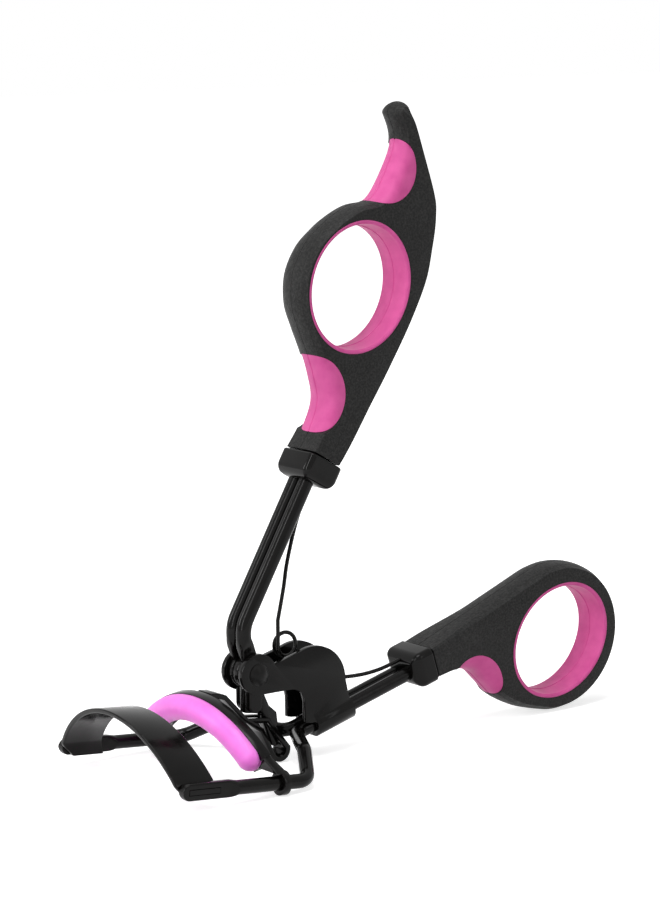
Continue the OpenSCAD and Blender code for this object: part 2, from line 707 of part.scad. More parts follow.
// The carrier: an arched channel that holds the pad, with an eyelet on each rail
channel_front = 0.5;
channel_back = channel_front + 0.95 + carrier_t;
channel_h = tongue_h + fit + carrier_t;
module pad_carrier() color(wire_black) place() {
    on_jaw() jaw_arch(carrier_half) translate([pad_arch_r, 0]) difference() {
        translate([-channel_h, channel_front]) square([2 * channel_h, channel_back - channel_front]);
        translate([-tongue_h - fit, channel_front - weld])
            square([2 * (tongue_h + fit), channel_back - channel_front + weld - carrier_t]);
    }
    both_sides() on_rails() difference() {
        union() {
            translate([eyelet_x, -rail_y, 0]) rotate([0, 90, 0])
                cylinder(r = eyelet_r, h = eyelet_t, center = true);
            carrier_ear();
        }
        translate([0, -rail_y, 0]) rotate([0, 90, 0]) cylinder(d = wire_d + 2 * run, h = 2 * eyelet_x);
    }
}
// The ear from the carrier's end to an eyelet, flared to the rear and clear of the rail's tip
module carrier_ear() intersection() {
    ear_w = 1.6;
    rear = eyelet_x + eyelet_t / 2;
    front = eyelet_x - eyelet_t / 2;
    clear_z = tip_h / 2 + 0.35;
    root_a = carrier_half - 2;
    rise = [for (q = [1, -1]) pad_rise - pad_arch_r + (pad_arch_r + q * (channel_h - weld)) * cos(root_a)];
    root = [for (up = rise) [
        (pad_rise - pad_arch_r - up) * tan(root_a),
        up * cos(jaw_lean) + 0.4 * channel_back * sin(jaw_lean)
    ]];
    root_x = jaw_x + channel_back * cos(jaw_lean) - rise[0] * sin(jaw_lean) - weld / 2;
    rotate([90, 0, 90]) linear_extrude(rear) polygon([
        [-rail_y, 0] + polar(eyelet_r - weld / 2, 135),
        [-rail_y + wire_d / 2, wire_d / 2],
        root[1], root[0]
    ]);
    across(2 * rail_gap) polygon([
        [front, 0], [rear, 0], [rear, 0.75 * eyelet_r],
        [root_x, root[0][1] + weld], [root_x - ear_w, root[0][1] + weld],
        [front - 0.8 * ear_w, clear_z], [front, clear_z]
    ]);
}

// The soft pad: a round bead with a tongue that fills the carrier's channel
module silicone_pad() color(pad_pink) place() on_jaw() {
    jaw_arch(pad_half) translate([pad_arch_r, 0]) {
        intersection() {
            circle(r = pad_r);
            translate([-pad_r, -pad_r]) square([2 * pad_r, pad_r + channel_front - fit]);
        }
        translate([-tongue_h, -pad_r / 2])
            square([2 * tongue_h, channel_back - carrier_t - fit + pad_r / 2]);
    }
    both_sides() translate([0, 0, pad_rise - pad_arch_r]) rotate([pad_half, 0, 0])
        translate([0, 0, pad_arch_r]) rotate([0, -90, 0]) rotate_extrude() intersection() {
            circle(r = pad_r + swell / 2);
            translate([0, fit - channel_front + swell]) square([2 * pad_r, 2 * pad_r]);
        }
}

// The drive strap: from the back of the carrier down to a hook round the lever's tail, and back
// over the top as two arms with the tail between them
hook_c = [pivot_x, pivot_h] + tail_tip + [0.25, -1.15];
hook_mid = hook_r + strap_t / 2;
// A bent strip through points, a hair thicker at its bends
module strip(points, t) for (i = [0 : len(points) - 2]) {
    d = points[i + 1] - points[i];
    translate(points[i]) rotate(atan2(d[1], d[0])) translate([0, -t / 2]) square([norm(d), t]);
    translate(points[i + 1]) circle(d = t + swell);
}
module drive_strap() color(wire_black) place() difference() {
    seat = flat(jaw_at(channel_back + strap_t / 2, pad_rise + 0.6));
    lead_in = 204;
    arm_w = 0.9;
    union() {
        across(strap_w) {
            strip([
                seat - [0.3, -1.2],
                seat + [1.2, 1],
                seat + [2.6, 0.5],
                hook_c + [-7.1, 6.5],
                hook_c + [-3.75, 4.1],
                hook_c + polar(hook_mid, lead_in)
            ], strap_t);
            translate(hook_c) intersection() {
                difference() {
                    circle(r = hook_r + strap_t);
                    circle(r = hook_r);
                }
                polygon(concat([[0, 0]], [for (a = [lead_in, 240, 280, 320, 360]) polar(9, a)]));
            }
            translate(hook_c + [hook_r, 0]) square([strap_t, 0.5]);
        }
        both_sides() translate([0, (strap_w - arm_w) / 2, 0]) across(arm_w) strip([
            hook_c + [-6.6, 6.2],
            hook_c + [-2.2, 5.6],
            hook_c + [-0.2, 2.7],
            hook_c + [hook_mid, 0.25]
        ], strap_t);
    }
    on_jaw() jaw_arch(carrier_half) translate([pad_arch_r - channel_h - fit, channel_front - 9])
        square([2 * (channel_h + fit), channel_back - channel_front + 9 + fit]);
}

// The torsion spring: one tube, from the lower ferrule to the coil and up to the upper ferrule
coil = [pivot_x + coil_x, pivot_h + coil_h];
coil_from = 250;
coil_span = 430;
coil_steps = 10;
end_run = 1.2;
lower_leg = [
    lower_at(-ferrule_len - fit, 2.6),
    lower_at(-ferrule_len - fit - end_run, 2.6),
    lower_at(-9.5, 2.8),
    lower_at(-13.5, 3.6),
    lower_at(-18, 5.2),
    lower_at(-23.5, 8.2)
];
upper_leg = [
    [coil[0] - coil_r + 0.05, -coil_pitch * 0.6, coil[1] + 4.6],
    [coil[0] - coil_r + 1.45, -coil_pitch * 0.45, coil[1] + 10],
    upper_at(-18.5, 3.9, -0.3),
    upper_at(-ferrule_len - 7, 2.5, -0.1),
    upper_at(-ferrule_len - fit - end_run, 1.95),
    upper_at(-ferrule_len - fit, 1.95)
];
coil_turn = [
    for (k = [0 : coil_steps])
        let (a = coil_from - coil_span * k / coil_steps)
        [coil[0] + coil_r * cos(a), coil_pitch * (0.6 - 1.2 * k / coil_steps), coil[1] + coil_r * sin(a)]
];
spring_path = concat(
    [lower_leg[0]], curve([for (i = [1 : 5]) lower_leg[i]], 2),
    coil_turn, curve([for (i = [0 : 4]) upper_leg[i]], 2), [upper_leg[5]]
);
// A tube round a path, its rings held square to the path and level with y
module tube(path, d, sides) {
    n = len(path);
    rings = [
        for (i = [0 : n - 1])
            let (
                t = unit(path[min(i + 1, n - 1)] - path[max(i - 1, 0)]),
                v = unit([0, 1, 0] - t * t[1]),
                w = cross(t, v)
            )
            [for (k = [0 : sides - 1])
                path[i] + d / 2 * (v * cos(360 * k / sides) + w * sin(360 * k / sides))]
    ];
    walls = [
        for (i = [0 : n - 2], k = [0 : sides - 1])
            let (m = (k + 1) % sides)
            each [
                [i * sides + k, (i + 1) * sides + m, (i + 1) * sides + k],
                [i * sides + k, i * sides + m, (i + 1) * sides + m]
            ]
    ];
    caps = [
        for (k = [1 : sides - 2])
            each [[0, k + 1, k], [(n - 1) * sides, (n - 1) * sides + k, (n - 1) * sides + k + 1]]
    ];
    polyhedron([for (ring = rings) each ring], concat(walls, caps));
}
// Least gap of the spring to itself, over points more than one coil radius apart along it
spring_gap = min([
    for (i = [0 : len(spring_path) - 1], j = [0 : len(spring_path) - 1])
        if (j > i + 4) norm(spring_path[i] - spring_path[j]) - spring_d
]);
echo(spring_gap = spring_gap);
module torsion_spring() color(wire_black) place() tube(spring_path, spring_d, 6);

guide_rod_left();
guide_rod_right();
front_jaw_plate();
pivot_bracket();
pivot_rivet();
lower_ferrule();
lower_handle();
lower_ring_liner();
lower_finger_rest();
lever_rod_left();
lever_rod_right();
lever_tail();
upper_ferrule();
upper_handle();
upper_ring_liner();
upper_finger_rest();
upper_tail_rest();
pad_carrier();
silicone_pad();
drive_strap();
torsion_spring();
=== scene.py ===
# %% [markdown]
# # An eyelash curler, dressed for its portrait
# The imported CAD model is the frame: every solid already stands in the right place, in metres.
# This lesson puts smooth skins over those solids, one piece at a time, gives each piece the
# finish of the real thing, and lights it as a small product on a white table.

# %% Load the frame
import bmesh
import bpy
import numpy as np
from mathutils import Matrix, Vector


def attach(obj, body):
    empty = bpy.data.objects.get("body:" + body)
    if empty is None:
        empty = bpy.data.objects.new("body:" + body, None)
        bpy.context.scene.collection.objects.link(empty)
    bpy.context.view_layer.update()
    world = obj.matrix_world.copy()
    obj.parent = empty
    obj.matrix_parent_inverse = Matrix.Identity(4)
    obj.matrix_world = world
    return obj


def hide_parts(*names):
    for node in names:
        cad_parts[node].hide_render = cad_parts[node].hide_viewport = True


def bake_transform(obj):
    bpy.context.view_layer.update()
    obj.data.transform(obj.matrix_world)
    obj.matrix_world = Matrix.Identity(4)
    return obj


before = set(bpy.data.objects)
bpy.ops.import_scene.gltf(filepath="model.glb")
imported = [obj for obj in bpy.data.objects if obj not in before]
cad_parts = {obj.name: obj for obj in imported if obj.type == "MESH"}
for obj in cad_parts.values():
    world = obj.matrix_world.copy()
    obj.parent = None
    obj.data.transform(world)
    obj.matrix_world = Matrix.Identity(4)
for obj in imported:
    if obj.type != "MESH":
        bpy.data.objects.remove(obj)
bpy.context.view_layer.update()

# %% [markdown]
# ## Drawing in millimetres
# The curler is small, so its sizes are easier to read in millimetres. Points are worked out in
# the drawing's own frame, where x starts at the tips of the rails, and one helper shifts them to
# the middle of the part and turns them into metres when a mesh is made.

# %% Meshes from arrays
MM = 0.001
X_MID = 52.517


def grid_faces(rows, cols, close_rows=False, close_cols=True):
    """Quads of a grid: each takes a point, its neighbour along the row, and the two below."""
    i, j = np.arange(rows - (not close_rows))[:, None], np.arange(cols - (not close_cols))
    i, j = np.broadcast_arrays(i, j)
    k, m = (i + 1) % rows, (j + 1) % cols
    return np.stack([i * cols + j, i * cols + m, k * cols + m, k * cols + j], -1).reshape(-1, 4)


def new_piece(name, points, faces):
    """A mesh object from points in the drawing's millimetres."""
    points = (np.asarray(points, float).reshape(-1, 3) - [X_MID, 0, 0]) * MM
    mesh = bpy.data.meshes.new(name)
    mesh.from_pydata(points.tolist(), [], faces.tolist())
    piece = bpy.data.objects.new(name, mesh)
    bpy.context.scene.collection.objects.link(piece)
    return piece


def start_closed(skin):
    """A grid of points with one more row before the first: that row's middle, which closes it."""
    return np.concatenate([np.repeat(skin[:1].mean(1, keepdims=True), skin.shape[1], 1), skin])


def close_up(piece, gap=0.002):
    """Merges points that meet at poles and seams, and turns every face outwards."""
    work = bmesh.new()
    work.from_mesh(piece.data)
    bmesh.ops.remove_doubles(work, verts=work.verts, dist=gap * MM)
    bmesh.ops.dissolve_degenerate(work, edges=work.edges, dist=gap * MM * 0.1)
    bmesh.ops.recalc_face_normals(work, faces=work.faces)
    work.to_mesh(piece.data)
    work.free()
    return piece


def settle(piece):
    """Writes the result of a piece's modifiers into its mesh."""
    shown = piece.evaluated_get(bpy.context.evaluated_depsgraph_get())
    mesh = bpy.data.meshes.new_from_object(shown)
    piece.modifiers.clear()
    piece.data = mesh
    return piece


def cut(piece, tool, operation="DIFFERENCE"):
    """Takes a tool away from a piece, or keeps only what lies in it, and removes the tool."""
    carve = piece.modifiers.new("carve", "BOOLEAN")
    carve.operation, carve.solver, carve.object = operation, "EXACT", tool
    settle(piece)
    bpy.data.objects.remove(tool)
    return piece


def smooth(piece, degrees=38):
    """Smooth shading, with edges sharper than this angle kept crisp."""
    piece.data.shade_smooth()
    piece.data.set_sharp_from_angle(angle=np.radians(degrees))
    return piece


# %% [markdown]
# ## Finishes
# The curler shows seven finishes: glossy black paint on bent wire and sheet, a satin black on the
# rivet, smooth moulded black on the ferrules, finely textured black on the handles, dark spring
# wire, hot pink rubber and orchid silicone. Each is a small node tree that reads Object
# coordinates, so the grain has a real size and stays where it is when the part moves.

# %% Material helpers
def finish(name, colour, roughness, **sockets):
    """A new material with one shader, its plain numbers set on the shader's own sockets."""
    material = bpy.data.materials.new(name)
    material.use_nodes = True
    shader = material.node_tree.nodes["Principled BSDF"]
    shader.inputs["Base Color"].default_value = (*colour, 1)
    shader.inputs["Roughness"].default_value = roughness
    for socket, value in sockets.items():
        shader.inputs[socket.replace("_", " ")].default_value = value
    return material, material.node_tree.nodes, material.node_tree.links, shader


def noise(nodes, links, scale, detail=3.0, rough=0.5):
    """A noise pattern on Object coordinates; scale is in cells to the metre."""
    place = nodes.new("ShaderNodeTexCoord")
    pattern = nodes.new("ShaderNodeTexNoise")
    pattern.inputs["Scale"].default_value = scale
    pattern.inputs["Detail"].default_value = detail
    pattern.inputs["Roughness"].default_value = rough
    links.new(place.outputs["Object"], pattern.inputs["Vector"])
    return pattern.outputs["Fac"]


def spread(nodes, links, value, low, high, start=0.3, stop=0.7):
    """Maps a pattern from start..stop to low..high."""
    node = nodes.new("ShaderNodeMapRange")
    sockets = ("From Min", "From Max", "To Min", "To Max")
    for socket, number in zip(sockets, (start, stop, low, high)):
        node.inputs[socket].default_value = number
    links.new(value, node.inputs["Value"])
    return node.outputs["Result"]


def tint(nodes, links, value, dark, light, start=0.3, stop=0.7):
    """A colour that runs from dark to light as a pattern goes from start to stop."""
    node = nodes.new("ShaderNodeValToRGB")
    for stop_point, colour, position in zip(node.color_ramp.elements, (dark, light), (start, stop)):
        stop_point.color, stop_point.position = (*colour, 1), position
    links.new(value, node.inputs["Fac"])
    return node.outputs["Color"]


def bump(nodes, links, shader, height, strength, depth_mm):
    """Raises the surface with a pattern, by so many millimetres at full strength."""
    node = nodes.new("ShaderNodeBump")
    node.inputs["Strength"].default_value = strength
    node.inputs["Distance"].default_value = depth_mm * MM
    links.new(height, node.inputs["Height"])
    links.new(node.outputs["Normal"], shader.inputs["Normal"])


# %% Black finishes
def black_paint(name="black_paint", gloss=0.15):
    """Black enamel: a broad ripple, and a gloss that is slightly uneven round the one given."""
    material, nodes, links, shader = finish(name, (0.003, 0.003, 0.003), gloss,
                                            Specular_IOR_Level=0.14)
    uneven = spread(nodes, links, noise(nodes, links, 700, 4), gloss * 0.7, gloss * 1.5)
    links.new(uneven, shader.inputs["Roughness"])
    cloudy = tint(nodes, links, noise(nodes, links, 260),
                  dark=(0.002, 0.0018, 0.0017), light=(0.0045, 0.0041, 0.0039))
    links.new(cloudy, shader.inputs["Base Color"])
    bump(nodes, links, shader, noise(nodes, links, 1400, 2), strength=0.25, depth_mm=0.01)
    return material


def black_grain(name="black_grain"):
    """Moulded handle plastic: a fine spark-eroded grain with a dull sheen."""
    material, nodes, links, shader = finish(name, (0.008, 0.008, 0.008), 0.55,
                                            Specular_IOR_Level=0.2)
    pits = noise(nodes, links, 2600, 3, 0.6)
    speckle = tint(nodes, links, pits, dark=(0.0012, 0.0012, 0.0012), light=(0.019, 0.0186, 0.018),
                   start=0.4, stop=0.68)
    links.new(speckle, shader.inputs["Base Color"])
    uneven = spread(nodes, links, noise(nodes, links, 900, 3), 0.48, 0.62)
    links.new(uneven, shader.inputs["Roughness"])
    bump(nodes, links, shader, pits, strength=0.8, depth_mm=0.09)
    return material


paint = black_paint()
gloss = black_paint("black_gloss", 0.09)
spring_dark = black_paint("spring_wire", 0.28)
satin = black_paint("black_satin", 0.32)
grain = black_grain()
print("black finishes:", [m.name for m in (paint, gloss, spring_dark, satin, grain)])


# %% Pink finishes
def pink_rubber(name="pink_rubber"):
    """Soft hot pink grip: matt, with a faint mottle, a fine skin and a powdery sheen."""
    material, nodes, links, shader = finish(name, (0.64, 0.088, 0.31), 0.55,
                                            Specular_IOR_Level=0.25,
                                            Sheen_Weight=0.3, Sheen_Roughness=0.4)
    mottle = tint(nodes, links, noise(nodes, links, 450, 4),
                  dark=(0.60, 0.075, 0.285), light=(0.68, 0.103, 0.34))
    links.new(mottle, shader.inputs["Base Color"])
    uneven = spread(nodes, links, noise(nodes, links, 1500, 3), 0.52, 0.68)
    links.new(uneven, shader.inputs["Roughness"])
    bump(nodes, links, shader, noise(nodes, links, 4200, 2), strength=0.3, depth_mm=0.02)
    return material


def pink_silicone(name="pink_silicone"):
    """Orchid silicone: smooth and a little translucent, so light softens its shaded side."""
    material, nodes, links, shader = finish(name, (0.95, 0.22, 0.78), 0.42,
                                            Specular_IOR_Level=0.3,
                                            Subsurface_Weight=0.35, Subsurface_Scale=0.002)
    shader.inputs["Subsurface Radius"].default_value = (1.0, 0.45, 0.8)
    cloudy = tint(nodes, links, noise(nodes, links, 300),
                  dark=(0.93, 0.20, 0.75), light=(0.97, 0.24, 0.81))
    links.new(cloudy, shader.inputs["Base Color"])
    uneven = spread(nodes, links, noise(nodes, links, 900), 0.32, 0.46)
    links.new(uneven, shader.inputs["Roughness"])
    bump(nodes, links, shader, noise(nodes, links, 1800, 2), strength=0.15, depth_mm=0.015)
    return material


rubber, silicone = pink_rubber(), pink_silicone()
print("pink finishes:", [m.name for m in (rubber, silicone)])


def dress(piece, node, body, material):
    """Gives a piece its finish, hides the solid it stands for, and hangs it on the body that
    carries it.
    """
    piece.data.materials.clear()
    piece.data.materials.append(material)
    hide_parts(node)
    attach(piece, body)
    print(f"{piece.name}: {len(piece.data.polygons)} faces, rides on {body}")
    return piece


# %% [markdown]
# ## Where things are
# The lower wires rise to the rear, the lever wires lean back, and the rails slope down to the
# rear. Three small functions turn distances along and off those lines into points, the same way
# as in the CAD source, so each skin lands on its solid. Points in the middle plane are x and z.

# %% Lines of the frame
LOWER_TILT, UPPER_TILT, RAIL_TILT = 16, 30, 4.8      # degrees; the upper one from the vertical
LOWER_NECK = np.array([64.6, 12.9])                  # where the lower wires enter their handle
UPPER_BEND, UPPER_REACH = np.array([24.25, 24.3]), 33.3  # the lever wires' bend, and on to the neck
RAIL_Y, TIP_Z = 19.3, 3.808                          # the rails' tips: half their spacing, height
PIVOT = np.array([26.75, 0.0, 16.7])                 # middle of the rivet
GUIDE_R, LEVER_R, WIRE_HOLD = 1.25, 1.34, 6          # wires, and their length inside a handle
HANDS = ((-1, "left"), (1, "right"))


def bearing(degrees):
    """Unit vector at an angle, as (cosine, sine)."""
    return np.cos(np.radians(degrees)), np.sin(np.radians(degrees))


def stacked(x, y, z):
    """Points from three arrays that broadcast together."""
    return np.stack(np.broadcast_arrays(np.asarray(x, float), y, z), -1)


def lower_at(along, off=0.0, y=0.0):
    """From the lower neck: so far along the wires to the rear, so far square above them."""
    c, s = bearing(LOWER_TILT)
    return stacked(LOWER_NECK[0] + along * c - off * s, y, LOWER_NECK[1] + along * s + off * c)


def upper_at(along, off=0.0, y=0.0):
    """From the upper neck: so far up along the lever wires, so far behind them."""
    (c, s), run = bearing(UPPER_TILT), UPPER_REACH + along
    return stacked(UPPER_BEND[0] + run * s + off * c, y, UPPER_BEND[1] + run * c - off * s)


def rail_at(x, y, z=0.0):
    """Along the rails from their tips, across them, and square above them."""
    c, s = bearing(RAIL_TILT)
    return stacked(x * c + z * s, y, TIP_Z - x * s + z * c)


print("necks at", lower_at(0.0).round(1).tolist(), upper_at(0.0).round(1).tolist(), "mm")


def smooth_line(points, steps):
    """A curve through points: each span blends four neighbours with cubic weights."""
    p = np.asarray(points, float)
    p = np.concatenate([p[:1], p, p[-1:]])
    a, b, c, d = (p[k:len(p) - 3 + k, None] for k in range(4))
    t = (np.arange(steps) / steps)[None, :, None]
    spans = 0.5 * (2 * b + (c - a) * t + (2 * a - 5 * b + 4 * c - d) * t ** 2
                   + (3 * b - a - 3 * c + d) * t ** 3)
    return np.concatenate([spans.reshape(-1, p.shape[1]), p[-1:]])


# %% [markdown]
# ## Camera
# The photograph looks at the curler from its front left and a little above. The angles, the
# distance and the lens were solved from landmarks in the picture, so the render lines up with it.

# %% Camera
def look(azimuth, elevation, roll, target, distance, lens):
    """A camera on a sphere round a target: back along azimuth and elevation, then rolled."""
    (ca, sa), (ce, se), (cr, sr) = bearing(azimuth), bearing(elevation), bearing(roll)
    back = np.array([sa * ce, -ca * ce, se])
    level = np.array([ca, sa, 0.0])
    upright = np.cross(back, level)
    right, up = level * cr + upright * sr, upright * cr - level * sr
    camera = bpy.data.objects.new("camera", bpy.data.cameras.new("camera"))
    camera.data.lens, camera.data.sensor_width = lens, 36
    camera.data.clip_start, camera.data.clip_end = 0.05, 10
    turn = np.eye(4)
    turn[:3, 0], turn[:3, 1], turn[:3, 2] = right, up, back
    turn[:3, 3] = (np.array(target) - [X_MID, 0, 0] + back * distance) * MM
    camera.matrix_world = Matrix(turn.tolist())
    bpy.context.scene.collection.objects.link(camera)
    bpy.context.scene.camera = camera
    return camera


camera = look(azimuth=-35.6246, elevation=8.7921, roll=-0.8596, target=(44.747, 0, 53.668),
              distance=520.034, lens=119.144)
print("camera at", [round(v, 3) for v in camera.location])

# %% [markdown]
# ## Bent wires
# The frame is round wire, bent at a few corners and hammered flat at its ends. A path with
# rounded corners is sampled first. Round it goes a section whose width, thickness and squareness
# change along the path, so the round wire flows into its flat end with no seam.

# %% A wire with flat ends
def bent_path(corners, radii, step=0.25):
    """Straight runs joined by arcs: at each corner the arc touches both runs, radius as given."""
    corners = [np.asarray(c, float) for c in corners]
    parts, start = [], corners[0]
    for before, at, after, r in zip(corners, corners[1:], corners[2:], radii):
        u, v = ((p - at) / np.linalg.norm(p - at) for p in (before, after))
        half = np.arccos(np.clip(u @ v, -1, 1)) / 2
        centre = at + (u + v) / np.linalg.norm(u + v) * r / np.sin(half)
        first = at + u * r / np.tan(half)
        x = (first - centre) / r
        sweep = np.linspace(0, np.pi - 2 * half, 14)[:, None]
        y = -u - x * (-u @ x)
        y /= np.linalg.norm(y)
        n = max(int(np.linalg.norm(first - start) / step), 2)
        bend = centre + r * (np.cos(sweep) * x + np.sin(sweep) * y)
        parts += [np.linspace(start, first, n)[:-1], bend[:-1]]
        start = bend[-1]
    n = max(int(np.linalg.norm(corners[-1] - start) / step), 2)
    return np.concatenate(parts + [np.linspace(start, corners[-1], n)])


def swept(name, path, wide, thick, square, sides=40):
    """A section carried along a path. It is a rounded box: half width across the path in its own
    plane, half thickness along y, and squareness as the power of the curve (2 is round)."""
    t = np.gradient(path, axis=0)
    t /= np.linalg.norm(t, axis=1, keepdims=True)
    side = np.array([0, 1.0, 0]) - t * t[:, 1:2]
    side /= np.linalg.norm(side, axis=1, keepdims=True)
    upward = np.cross(t, side)
    turn = 2 * np.pi * np.arange(sides) / sides
    power = 2 / np.asarray(square)[:, None]
    a = np.sign(np.cos(turn)) * np.abs(np.cos(turn)) ** power * np.asarray(wide)[:, None]
    b = np.sign(np.sin(turn)) * np.abs(np.sin(turn)) ** power * np.asarray(thick)[:, None]
    skin = path[:, None] + a[..., None] * upward[:, None] + b[..., None] * side[:, None]
    ends = [np.repeat(p[None, None], sides, 1) for p in (path[0], path[-1])]
    skin = np.concatenate([ends[0], skin, ends[1]])
    return close_up(new_piece(name, skin, grid_faces(len(skin), sides)))


def ramp(t, a, b):
    """Runs smoothly from a to b as t goes from 0 to 1, and stays level outside."""
    t = np.clip(t, 0, 1)
    return a + (b - a) * t * t * (3 - 2 * t)


def box_tool(name, corner, size, place):
    """A box from a corner, of a size, put in place by a function of x, y and z."""
    u = np.array([[0, 0, 0], [1, 0, 0], [1, 1, 0], [0, 1, 0],
                  [0, 0, 1], [1, 0, 1], [1, 1, 1], [0, 1, 1]])
    p = np.array(corner) + u * np.array(size)
    faces = np.array([[0, 3, 2, 1], [4, 5, 6, 7], [0, 1, 5, 4],
                      [1, 2, 6, 5], [2, 3, 7, 6], [3, 0, 4, 7]])
    return close_up(new_piece(name, place(p[:, 0], p[:, 1], p[:, 2]), faces))


def spun(name, x, z, r, across, sides=160, shape=lambda offsets: offsets, closed=False):
    """A profile of radius against y, turned about an axis along y at x and z. The circle's offsets
    pass through a shape, which can make it an oval."""
    turn = 2 * np.pi * np.arange(sides)[:, None] / sides
    flat = shape(np.stack([r * np.cos(turn), r * np.sin(turn)], -1))
    skin = stacked(x + flat[..., 0], across, z + flat[..., 1])
    return close_up(new_piece(name, skin, grid_faces(sides, len(r), True, closed)))


def round_tool(name, x, z, r, reach=12.0, **how):
    """A bar across y, wider than any piece: a circle in x and z."""
    return spun(name, x, z, np.array([0, r, r, 0]), reach * np.array([-1, -1, 1, 1]), **how)


# %% Guide rods
def guide_rod(side, hand, pair=1.3, tip=1.45, flat_from=11.2, blend=2.2):
    """Out of the lower handle, through the sleeve, out to the rail corner, forward to a flat tip.
    Where it is flat it grows wider and thinner, and its end is half a circle."""
    corners = [lower_at(WIRE_HOLD, 0, side * pair), lower_at(-30.2, 0, side * pair),
               rail_at(28.8, side * 0.68 * RAIL_Y, 3.7), rail_at(25.4, side * RAIL_Y),
               rail_at(1.5, side * RAIL_Y)]
    path = bent_path(corners, radii=[2.6, 3, 3])
    nose = rail_at(tip * (1 - np.sin(np.radians(np.arange(3, 91, 6)))), side * RAIL_Y)
    path = np.concatenate([path[:-1], nose])
    c, s = bearing(RAIL_TILT)
    along = path[:, 0] * c - (path[:, 2] - TIP_Z) * s
    flat = ramp((flat_from - along) / blend, 0, 1) * (np.abs(path[:, 1]) > RAIL_Y - 0.01)
    end = np.clip((tip - along) / tip, 0, 1)
    wide = np.where(along < tip, tip * np.sqrt(np.clip(1 - end ** 2, 0, 1)), GUIDE_R + 0.2 * flat)
    rod = swept("guide_rod_skin_" + hand, path, wide, GUIDE_R - 0.5 * flat, 2 + 5 * flat)
    slot = box_tool("slot", (1.1, side * RAIL_Y - 2, -0.53), (6.2, 4, 1.06), rail_at)
    return cut(rod, slot)


for side, hand in HANDS:
    dress(smooth(guide_rod(side, hand)), f"guide_rod_{hand}", "frame_body", paint)


# %% Lever rods
def lever_rod(side, hand, pair=1.48, eye=2.9, leg=5.5, toe=1.45, flat_from=6.4, blend=2.6):
    """Out of the upper handle, down to the bend, then flat: an eye on the rivet and a leg. Heights
    are taken from the rivet, and the leg ends in half a circle."""
    y = side * pair
    foot = PIVOT + [0, y, -leg]
    corners = [upper_at(WIRE_HOLD, 0, y), np.array([UPPER_BEND[0], y, UPPER_BEND[1]]),
               PIVOT + [0, y, 0], foot]
    path = bent_path(corners, radii=[6, 5], step=0.15)
    nose = foot - np.array([0, 0, 1.0]) * toe * np.sin(np.radians(np.arange(6, 91, 6)))[:, None]
    path = np.concatenate([path[:-1], foot[None], nose])
    height = path[:, 2] - PIVOT[2]
    flat = ramp((flat_from - height) / blend, 0, 1)
    round_eye = np.sqrt(np.clip(eye ** 2 - height ** 2, 0, None))
    round_toe = np.sqrt(np.clip(toe ** 2 - (height + leg) ** 2, 0, None))
    wide = np.where(height < -leg, round_toe, np.maximum(LEVER_R + 0.11 * flat, round_eye))
    rod = swept("lever_rod_skin_" + hand, path, wide, LEVER_R - 0.69 * flat, 2 + 5 * flat)
    return cut(rod, round_tool("rivet_hole", PIVOT[0], PIVOT[2], 1.27))


for side, hand in HANDS:
    dress(smooth(lever_rod(side, hand)), f"lever_rod_{hand}", "lever_body", paint)

# %% [markdown]
# ## Handles
# Each handle is a flat outline whose narrow side is crowned, then creased and sloped to the broad
# faces. The outline is drawn as two sides, both running from the neck to the far end. A loop round
# the thickness - edge, face, edge, face - is carried along the two sides at once, which keeps the
# crease one clean line from neck to tip. The finger hole and the hollows of the soft rests are cut
# out of that blank, and the rests are what the hollows take away.

# %% A creased blank
def polar(r, degrees):
    """A point at a radius and an angle."""
    return r * np.array(bearing(degrees))


def arc(centre, r, start, stop, n=40):
    """Points on a circle from one angle to another."""
    a = np.radians(np.linspace(start, stop, n))[:, None]
    return np.asarray(centre) + r * np.concatenate([np.cos(a), np.sin(a)], 1)


def oval(points, along=1.065, across=0.92, lean=33):
    """Offsets from a ring's middle, drawn out a little along its handle and in across it. The
    lean is the long axis's angle in x and z; unless told otherwise, the lower ring's."""
    (c, s), points = bearing(lean), np.asarray(points, float)
    a, b = points @ [c, s], points @ [-s, c]
    return a[..., None] * along * np.array([c, s]) + b[..., None] * across * np.array([-s, c])


def edge_rows(half, edge, crease, bevel=0.1, groove=0.06):
    """Half of an edge's section at each station, from the face to the middle: y, and the step in
    from the outline. A small bevel and a straight slope run down to the crease, a parabola from
    the crease to the middle, and the mould's parting line is a shallow groove there."""
    half, edge, crease = half[:, None], edge[:, None], crease[:, None]
    slope = np.array([0.97, 0.8, 0.6, 0.4, 0.2, 0.06])
    crown = np.array([1, 0.97, 0.88, 0.75, 0.6, 0.45, 0.3, 0.15])
    inset, none = 0.37 * edge, 0 * half
    y = np.concatenate([half, half * (crease + (1 - crease) * slope), half * crease * crown,
                        none + 0.1, none + 0.04], 1)
    step = np.concatenate([edge + bevel, inset + (edge - inset) * slope, inset * crown ** 2,
                           none, none + groove], 1)
    return y, step


def bead_rows(half, depth, power=2.3, groove=0.14):
    """The same for a soft rest: a quarter of a rounded box, that leaves the face without a corner
    and is full in the middle, with the parting line as a groove."""
    turn = np.radians(np.linspace(90, 8, 20))
    half, depth = half[:, None], depth[:, None]
    none = 0 * half
    out, over = (np.clip(wave, 0, 1) ** (2 / power) for wave in (np.cos(turn), np.sin(turn)))
    y = np.concatenate([half * over, none + 0.24, none + 0.08], 1)
    step = np.concatenate([depth * (1 - out), none, none + groove], 1)
    return y, step


HALF_T, RING_SLIM = 4.35, 0.88    # half the thickness at the neck, and its share at the ring
NECK_RUN = 14                     # the length in which the neck comes down to that share
EDGE, REST_DEPTH = 0.95, 2.4      # how far a handle's edge slopes in, and a rest's rolls in


